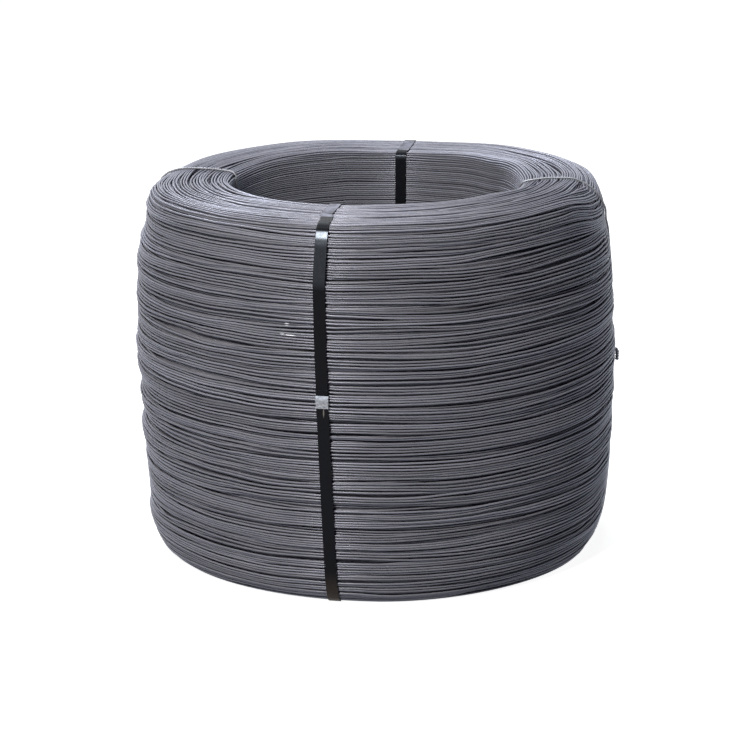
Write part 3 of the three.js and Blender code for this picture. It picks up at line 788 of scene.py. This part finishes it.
def twisted_end(local, side, sideways):
    """One end of a tie, from the side of the coil outwards: a quarter bend, then a helix round an
    axis that runs straight out and is folded over, down or to the side. Side is 1 for the end
    that comes from above and -1 for the one from below."""
    origin, up, across, out = local
    fold_to = -across if sideways else -up
    normal = np.cross(out, fold_to)
    foot = origin + (ROD / 2 + CLEARANCE) * out
    radius = ROD / 2 + CLEARANCE / 2
    first_turn = math.atan2(normal @ up, fold_to @ up) + (0 if side > 0 else math.pi)
    bend = np.linspace(0, math.pi / 2, NECK_STATIONS, endpoint=False)[:, None]
    neck = (foot + side * (radius + TWIST_NECK * (1 - np.sin(bend))) * up
            + TWIST_NECK * (1 - np.cos(bend)) * out)
    distance = np.linspace(0, TWIST_TURNS * TWIST_PITCH, TWIST_STATIONS)[:, None]
    fold = np.minimum(distance / TWIST_FOLD, math.pi / 2)
    beyond = distance - fold * TWIST_FOLD
    gather = 0.5 + 0.5 * np.minimum(1, distance / TWIST_PITCH)
    turn = first_turn + 2 * math.pi * gather * distance / TWIST_PITCH
    twist = (foot + out * (TWIST_NECK + TWIST_FOLD * np.sin(fold))
             + fold_to * (TWIST_FOLD * (1 - np.cos(fold)) + beyond)
             + (fold_to * np.cos(fold) - out * np.sin(fold)) * radius * np.cos(turn)
             + normal * radius * np.sin(turn))
    return np.vstack([neck, twist])


def carried_sides(path):
    """Two unit directions across a path at each of its stations, the first of them carried along
    from station to station: what runs along the path is taken off it each time."""
    along = unit(np.gradient(path, axis=0))
    side = unit(np.cross(along[0], [0.3, 0.5, 0.8]))        # any direction across the start
    sides = []
    for tangent in along:
        side = unit(side - tangent * (side @ tangent))
        sides.append(side)
    return np.array(sides), np.cross(along, sides)


def make_tie(name):
    """A wire tie: a loop pulled tight round the coil, with its two ends twisted round each other
    outside the knot's place."""
    knot_height, sideways = TIE_KNOTS[name]
    start = SURFACE.up_the_side(knot_height)
    corners = wrapped(touches(start), ROD / 2 + CLEARANCE)[:-1]
    points = divided(eased(corners, TIE_BEND), TIE_STEP)
    loop = settled(points[:, 1], points[:, 2], line_angle(name, points[:, 0]))
    knot = local_frame(name, start, bridging=False)
    path = np.vstack([twisted_end(knot, 1, sideways)[::-1], loop, twisted_end(knot, -1, sideways)])
    piece = carried_piece(name, circle(TIE_SIDES, ROD / 2), path, *carried_sides(path),
                          metres_along(path), UV_ROW)
    fit_out(piece, "tie_wire", name)


# ---- Nodes --------------------------------------------------------------------------------------
def add(tree, kind, inputs=(), **settings):
    """A new node of a tree with its settings, and with each input given a value or joined to a
    socket."""
    node = tree.nodes.new(kind)
    for setting, value in settings.items():
        setattr(node, setting, value)
    for socket, value in dict(inputs).items():
        if isinstance(value, bpy.types.NodeSocket):
            tree.links.new(value, node.inputs[socket])
        else:
            node.inputs[socket].default_value = value
    return node


def maths(tree, operation, *values):
    """What an operation makes of values or sockets."""
    return add(tree, "ShaderNodeMath", dict(enumerate(values)), operation=operation).outputs[0]


def vector_maths(tree, operation, *vectors):
    """What an operation makes of vectors, the length being a value."""
    node = add(tree, "ShaderNodeVectorMath", dict(enumerate(vectors)), operation=operation)
    return node.outputs["Value" if operation == "LENGTH" else "Vector"]


def ranged(tree, value, low, high, low_out=0.0, high_out=1.0, **settings):
    """A value carried from one range to another and held at its ends."""
    return add(tree, "ShaderNodeMapRange", {
        "Value": value, "From Min": low, "From Max": high, "To Min": low_out, "To Max": high_out,
    }, **settings).outputs[0]


def blended(tree, share, a, b):
    """Colour a where the share is 0 and colour b where it is 1."""
    node = add(tree, "ShaderNodeMix", {"Factor": share, 6: a, 7: b}, data_type="RGBA")
    return node.outputs[2]


def noise_of(tree, vector, scale, detail, roughness):
    """Noise of a vector, between 0 and 1."""
    return add(tree, "ShaderNodeTexNoise", {"Vector": vector, "Scale": scale, "Detail": detail,
                                            "Roughness": roughness}).outputs[0]


def round_one(tree, noise, amount):
    """Noise as a factor round 1 that swings by an amount either way."""
    swing = maths(tree, "MULTIPLY", maths(tree, "SUBTRACT", noise, 0.5), amount)
    return maths(tree, "MULTIPLY_ADD", swing, 2.0, 1.0)


def object_place(tree):
    """Place on the object, in metres."""
    return add(tree, "ShaderNodeTexCoord").outputs["Object"]


def rod_place(tree):
    """Place on a wound length: metres along it, then the two ways across."""
    return add(tree, "ShaderNodeAttribute", attribute_name="rod_place").outputs["Vector"]


def upward_of(tree, vector):
    """The upward part of a vector."""
    return add(tree, "ShaderNodeSeparateXYZ", {0: vector}).outputs[2]


def bump(tree, strength, distance, height):
    """The normal with a bump of some height."""
    return add(tree, "ShaderNodeBump", {"Strength": strength, "Distance": distance,
                                        "Height": height}).outputs[0]


def join(tree, inputs, sockets):
    """Joins each named input to a socket."""
    for name, socket in sockets.items():
        tree.links.new(socket, inputs[name])


GROUPS = {}


def node_group(name, outputs, **inputs):
    """Makes a node group from the function below it, which is given the group and its inputs and
    returns the values that it puts out. Each input is named here with its usual value."""
    def make(build):
        group = bpy.data.node_groups.new(name, "ShaderNodeTree")
        for socket, value in inputs.items():
            kind = "NodeSocketVector" if isinstance(value, tuple) else "NodeSocketFloat"
            item = group.interface.new_socket(name=socket, in_out="INPUT", socket_type=kind)
            item.default_value = value
        for socket in outputs:
            group.interface.new_socket(name=socket, in_out="OUTPUT", socket_type="NodeSocketFloat")
        given, out = group.nodes.new("NodeGroupInput"), group.nodes.new("NodeGroupOutput")
        join(group, out.inputs, dict(zip(outputs, build(group, given.outputs))))
        GROUPS[name] = group
        return build
    return make


@node_group("tone drift", ["Factor"], Place=(0, 0, 0), Scale=1.0, Amount=0.1)
def tone_drift(tree, given):
    """Tone that drifts slowly along a wound length: noise of the metres along, round 1."""
    along = add(tree, "ShaderNodeSeparateXYZ", {0: given["Place"]}).outputs[0]
    noise = add(tree, "ShaderNodeTexNoise", {"W": along, "Scale": given["Scale"], "Detail": 3.0},
                noise_dimensions="1D").outputs[0]
    return [round_one(tree, noise, given["Amount"])]


@node_group("draw lines", ["Factor", "Height"], Place=(0, 0, 0), Amount=0.1)
def draw_lines(tree, given):
    """Fine lines that drawing leaves along a wire: noise stretched along it, as a factor round 1
    and as a height."""
    stretched = vector_maths(tree, "MULTIPLY", given["Place"], (5.0, 1500.0, 1500.0))
    noise = noise_of(tree, stretched, 1.0, 3.0, 0.6)
    return [round_one(tree, noise, given["Amount"]), noise]


@node_group("rubbed", ["Mask"], Place=(0, 0, 0), Stretch=(30.0, 400.0, 400.0), Limit=0.7)
def rubbed_patches(tree, given):
    """Where a surface is rubbed bright: short patches of noise that pass a limit."""
    stretched = vector_maths(tree, "MULTIPLY", given["Place"], given["Stretch"])
    return [ranged(tree, noise_of(tree, stretched, 1.0, 4.0, 0.65), given["Limit"],
                   maths(tree, "ADD", given["Limit"], 0.06), interpolation_type="SMOOTHSTEP")]


@node_group("dust", ["Mask"], Amount=0.3, Bare=0.1, Full=0.9)
def dust_on_top(tree, given):
    """Dust on what faces upwards, from a slope on which none stays to one that keeps it all, each
    given as the upward share of the normal. It is broken up by noise."""
    upward = upward_of(tree, add(tree, "ShaderNodeNewGeometry").outputs["Normal"])
    broken = ranged(tree, noise_of(tree, object_place(tree), 38.0, 5.0, 0.65), 0.2, 0.6)
    kept = maths(tree, "MULTIPLY", broken, ranged(tree, upward, given["Bare"], given["Full"]))
    return [maths(tree, "MULTIPLY", kept, given["Amount"])]


@node_group("scuff", ["Mask"], Centre=(0, 0, 0), Reach=(0.01, 0.01, 0.01))
def scuff_mark(tree, given):
    """One scuff: full at a centre and gone at its reach, both on the object's own place."""
    offset = vector_maths(tree, "SUBTRACT", object_place(tree), given["Centre"])
    distance = vector_maths(tree, "LENGTH", vector_maths(tree, "DIVIDE", offset, given["Reach"]))
    return [ranged(tree, distance, 1.0, 0.4)]


@node_group("speckle", ["Factor"], Scale=100.0, Amount=0.1)
def film_speckle(tree, given):
    """Uneven film or coating: noise on the object's own place, round 1."""
    noise = noise_of(tree, object_place(tree), given["Scale"], 4.0, 0.6)
    return [round_one(tree, noise, given["Amount"])]


def use(tree, group, **inputs):
    """The outputs of a node group with the given inputs."""
    return add(tree, "ShaderNodeGroup", inputs, node_tree=GROUPS[group]).outputs


MATERIALS = {}


def material(name, **sockets):
    """Makes a material from the function below it, which is given its nodes and returns what is
    joined to its Principled shader. Plain values are set on the shader's own sockets."""
    def make(build):
        made = MATERIALS[name] = bpy.data.materials.new(name)
        made.use_nodes = True
        shader = made.node_tree.nodes["Principled BSDF"].inputs
        for socket, value in sockets.items():
            shader[socket.replace("_", " ")].default_value = value
        join(made.node_tree, shader, build(made.node_tree))
        return build
    return make


def scaled_colour(tree, colour, *factors):
    """A colour times each factor in turn."""
    for factor in factors:
        spread = add(tree, "ShaderNodeCombineXYZ", {0: factor, 1: factor, 2: factor}).outputs[0]
        colour = vector_maths(tree, "MULTIPLY", colour, spread)
    return colour


def scuffed(tree, colour, marks, scuff_colour):
    """A colour with scuffs, each a centre and a reach, laid over it."""
    for centre, reach in marks:
        mask = use(tree, "scuff", Centre=centre, Reach=reach)["Mask"]
        colour = blended(tree, mask, colour, scuff_colour)
    return colour


# ---- Materials ----------------------------------------------------------------------------------
ROD_COLOUR = (0.127, 0.131, 0.163)
ROD_DUST = (0.30, 0.29, 0.30, 1)
ROD_RUBBED = (0.42, 0.42, 0.44, 1)
ROD_SCUFF = (0.68, 0.70, 0.78, 1)
ROD_SCUFFS = [                      # centre and reach of each
    ((-0.2325, -0.6243, 0.7755), (0.008, 0.02, 0.004)),
    ((-0.2440, -0.6220, 0.7500), (0.008, 0.02, 0.003)),
    ((-0.2230, -0.6290, 0.7480), (0.016, 0.02, 0.002)),
]
CORE_COLOUR = (0.13, 0.13, 0.153)
STRAP_COLOUR = (0.0035, 0.0034, 0.0040)
STRAP_FLOOR_BROWN = (0.060, 0.046, 0.038, 1)
STRAP_DUST_AND_SKY_SHEEN = (0.20, 0.205, 0.265, 1)
STRAP_SCRATCH = (0.20, 0.20, 0.21, 1)
STRAP_SCUFF = (0.13, 0.125, 0.12, 1)
STRAP_SCUFFS = [((-0.1370, -0.672, 0.5500), (0.0022, 0.02, 0.016))]
SEAL_COLOUR = (0.225, 0.236, 0.275)
SEAL_PAINTED_HIGHLIGHT = (0.40, 0.45, 0.54, 1)
TIE_COLOUR = (0.185, 0.193, 0.222)


@material("wire_rod", Specular_IOR_Level=0.13, Specular_Tint=(0.62, 0.70, 1, 1))
def rod_film(tree):
    """Dull steel under a grey-blue film: tone differs from turn to turn and along each, with fine
    draw lines, rubbed patches and dust on what faces up."""
    place = rod_place(tree)
    turn_tone = use(tree, "tone drift", Place=place, Scale=0.8, Amount=0.8)["Factor"]
    quick_tone = use(tree, "tone drift", Place=place, Scale=7.0, Amount=0.14)["Factor"]
    lines = use(tree, "draw lines", Place=place, Amount=0.14)
    rubbed = use(tree, "rubbed", Place=place, Limit=0.70)["Mask"]
    dust = use(tree, "dust", Amount=0.35)["Mask"]
    colour = scaled_colour(tree, ROD_COLOUR, turn_tone, quick_tone, lines["Factor"])
    colour = blended(tree, dust, colour, ROD_DUST)
    colour = blended(tree, rubbed, colour, ROD_RUBBED)
    return {
        "Base Color": scuffed(tree, colour, ROD_SCUFFS, ROD_SCUFF),
        "Roughness": maths(tree, "MULTIPLY", 0.33, lines["Factor"]),
        "Metallic": maths(tree, "MULTIPLY_ADD", rubbed, 0.15, 0.18),
        "Normal": bump(tree, 0.3, 0.00012, lines["Height"]),
    }


@material("deep_turns", Roughness=0.9, Specular_IOR_Level=0.1)
def core_shade(tree):
    """What shows of the deep turns: dark, with a faint unevenness."""
    speckle = use(tree, "speckle", Scale=60.0, Amount=0.5)["Factor"]
    return {"Base Color": scaled_colour(tree, CORE_COLOUR, speckle)}


@material("black_strap", Specular_Tint=(0.70, 0.80, 1, 1))
def strap_paint(tree):
    """Black waxed paint on steel strapping: a duller film in patches, scratches along it, dust on
    its flat top lightened and blued as a painted sky reflection, a brown tint growing towards the
    floor, and a shine where it is drawn over the upper shoulder."""
    place = rod_place(tree)
    height = upward_of(tree, object_place(tree))
    speckle = use(tree, "speckle", Scale=150.0, Amount=0.35)["Factor"]
    lines = use(tree, "draw lines", Place=place, Amount=0.2)
    scratches = use(tree, "rubbed", Place=place, Stretch=(14.0, 900.0, 900.0), Limit=0.70)["Mask"]
    # Dust on the flattest facet of the strap's top, partly painted reflection: its lighter, bluer
    # colour stands in for the sky seen in it.
    dust = use(tree, "dust", Amount=0.9, Bare=0.9965, Full=0.9983)["Mask"]
    # Brown tint that grows towards the floor, broken up by the speckle.
    floor_brown = maths(tree, "MULTIPLY", ranged(tree, height, 0.10, 0.02),
                 maths(tree, "MULTIPLY", speckle, 0.55))
    colour = scaled_colour(tree, STRAP_COLOUR, speckle, lines["Factor"])
    colour = blended(tree, floor_brown, colour, STRAP_FLOOR_BROWN)
    colour = blended(tree, dust, colour, STRAP_DUST_AND_SKY_SHEEN)
    colour = blended(tree, maths(tree, "MULTIPLY", scratches, 0.5), colour, STRAP_SCRATCH)
    shine = maths(tree, "MULTIPLY", ranged(tree, height, 0.870, 0.890),
                  ranged(tree, height, 1.023, 1.018))
    dullness = maths(tree, "MULTIPLY_ADD", shine, -0.09, 0.36)
    return {
        "Base Color": scuffed(tree, colour, STRAP_SCUFFS, STRAP_SCUFF),
        "Specular IOR Level": maths(tree, "MULTIPLY_ADD", shine, 0.27, 0.07),
        "Roughness": maths(tree, "MULTIPLY", dullness, speckle),
        "Normal": bump(tree, 0.3, 0.00008, lines["Height"]),
    }


@material("galvanised_seal", Metallic=0.35)
def seal_sheet(tree):
    """Galvanised sheet: crystals of slightly different greys, dulled in patches, with a painted
    highlight that grows over its upper half towards its top end."""
    place = object_place(tree)
    crystals = add(tree, "ShaderNodeTexVoronoi", {"Vector": place, "Scale": 260.0}).outputs["Color"]
    tone = add(tree, "ShaderNodeSeparateColor", {0: crystals}).outputs[0]
    crystal_tone = ranged(tree, tone, 0.0, 1.0, 0.62, 1.25)
    speckle = use(tree, "speckle", Scale=90.0, Amount=0.5)["Factor"]
    # Painted highlight: a light bluish colour laid over the upper half of the seal, full at its top
    # end.
    edge = ranged(tree, upward_of(tree, place), SEAL_HEIGHT + 0.002, SEAL_HEIGHT + SEAL_LENGTH / 2)
    colour = blended(tree, maths(tree, "MULTIPLY", edge, crystal_tone),
                     scaled_colour(tree, SEAL_COLOUR, crystal_tone, speckle), SEAL_PAINTED_HIGHLIGHT)
    return {
        "Base Color": colour,
        "Roughness": maths(tree, "MULTIPLY", 0.36, speckle),
        "Normal": bump(tree, 0.6, 0.0003, speckle),
    }


@material("tie_wire", Specular_IOR_Level=0.4)
def bare_wire(tree):
    """Soft bare wire, lighter than the rod, with draw lines and grey patches, and darkened by
    painted shade where it runs down the bore."""
    place = rod_place(tree)
    tone = use(tree, "tone drift", Place=place, Scale=9.0, Amount=0.35)["Factor"]
    lines = use(tree, "draw lines", Place=place, Amount=0.25)
    speckle = use(tree, "speckle", Scale=220.0, Amount=0.3)["Factor"]
    # Painted shade: the tie's colour falls to a fifth where it lies inside the bore.
    level = vector_maths(tree, "MULTIPLY", object_place(tree), (1, 1, 0))
    bore_painted_shade = ranged(tree, vector_maths(tree, "LENGTH", level), 0.40, 0.42, 0.2)
    return {
        "Base Color": scaled_colour(tree, TIE_COLOUR, tone, lines["Factor"], speckle, bore_painted_shade),
        "Roughness": maths(tree, "MULTIPLY", 0.42, lines["Factor"]),
        "Metallic": maths(tree, "MULTIPLY", 0.35, tone),
        "Normal": bump(tree, 0.5, 0.00012, lines["Height"]),
    }


# ---- Camera, floor, world and lamps -------------------------------------------------------------
CAMERA_DISTANCE = 6.7976
CAMERA_HEIGHT = 2.3878
CAMERA_PITCH = 0.276                # radians below the horizon
FOCAL_PIXELS = 2470.2
IMAGE_WIDTH = 750
CENTRE_PIXEL = 376.5                # column of the picture that faces the coil's axis
SENSOR = 36
FLOOR_REACH = 60
FLOOR_GLOW = 0.93                   # of the floor by the coil
GLOW_DISTANCES = (1.0, 3.0)         # between which that grows to 1
SKY = (0.030, 0.034, 0.050)         # light of the sky
LAMPS = {                           # place, aim, size, watts, colour
    "key": ((-1.434, -3.30, 3.17), (0, 0, 0.6), 0.83, 222, (1, 0.962, 0.882)),
    "top": ((0.0, 0.7, 4.5), (0, 0, 1.0), 2.4, 135, (0.92, 0.955, 1)),
    "back": ((-1.8, 4.2, 4.4), (0, 0, 0.8), 2.0, 235, (0.92, 0.95, 1)),
}


def make_camera():
    """A camera in front of the coil that looks down on it."""
    camera = bpy.data.cameras.new("camera")
    camera.sensor_width = SENSOR
    camera.lens = FOCAL_PIXELS / IMAGE_WIDTH * SENSOR
    camera.shift_x = (IMAGE_WIDTH / 2 - CENTRE_PIXEL) / IMAGE_WIDTH
    camera.clip_end = 200
    piece = new_object("camera", camera)
    piece.location = (0, -CAMERA_DISTANCE, CAMERA_HEIGHT)
    piece.rotation_euler = (math.pi / 2 - CAMERA_PITCH, 0, 0)
    bpy.context.scene.camera = piece


def seen_directly(tree):
    """1 for camera, glossy and transmission rays, 0 for the rest."""
    path = add(tree, "ShaderNodeLightPath")
    seen = path.outputs["Is Camera Ray"]
    for ray in ("Is Glossy Ray", "Is Transmission Ray"):
        seen = maths(tree, "MAXIMUM", seen, path.outputs[ray])
    return seen


@material("floor", Base_Color=(0.5, 0.5, 0.5, 1), Roughness=0.9, Specular_IOR_Level=0.0,
          Emission_Color=(1, 1, 1, 1))
def floor_glow(tree):
    """White where it is seen: its own glow makes up for the lamps' light by the coil, and for all
    of it further off, so that the shadow near the coil stays."""
    distance = vector_maths(tree, "LENGTH", object_place(tree))
    glow = ranged(tree, distance, *GLOW_DISTANCES, FLOOR_GLOW)
    return {"Emission Strength": maths(tree, "MULTIPLY", seen_directly(tree), glow)}


def make_floor():
    """A wide level floor."""
    mesh = bpy.data.meshes.new("floor")
    corners = [(-1, -1), (1, -1), (1, 1), (-1, 1)]
    mesh.from_pydata([(x * FLOOR_REACH, y * FLOOR_REACH, 0) for x, y in corners], [],
                     [(0, 1, 2, 3)])
    mesh.materials.append(MATERIALS["floor"])
    floor = new_object("floor", mesh)


def make_world():
    """A dim sky, seen as plain white."""
    world = bpy.data.worlds.new("world")
    bpy.context.scene.world = world
    world.use_nodes = True
    tree = world.node_tree
    colour = blended(tree, seen_directly(tree), (*SKY, 1), (1, 1, 1, 1))
    join(tree, tree.nodes["Background"].inputs, {"Color": colour})


def make_lamp(name, place, target, size, power, colour):
    """A round lamp that shines from its place to a target."""
    lamp = bpy.data.lights.new(name, "AREA")
    lamp.shape = "DISK"
    lamp.size = size
    lamp.energy = power
    lamp.color = colour
    piece = new_object(name, lamp)
    piece.location = place
    piece.rotation_euler = (Vector(target) - Vector(place)).to_track_quat("-Z", "Y").to_euler()


make_turns()
make_core()
for strap in ("strap_front", "strap_back"):
    make_strap(strap)
for tie in TIE_KNOTS:
    make_tie(tie)
make_camera()
make_floor()
make_world()
for lamp, settings in LAMPS.items():
    make_lamp(lamp, *settings)
bpy.context.scene.view_settings.view_transform = "Standard"
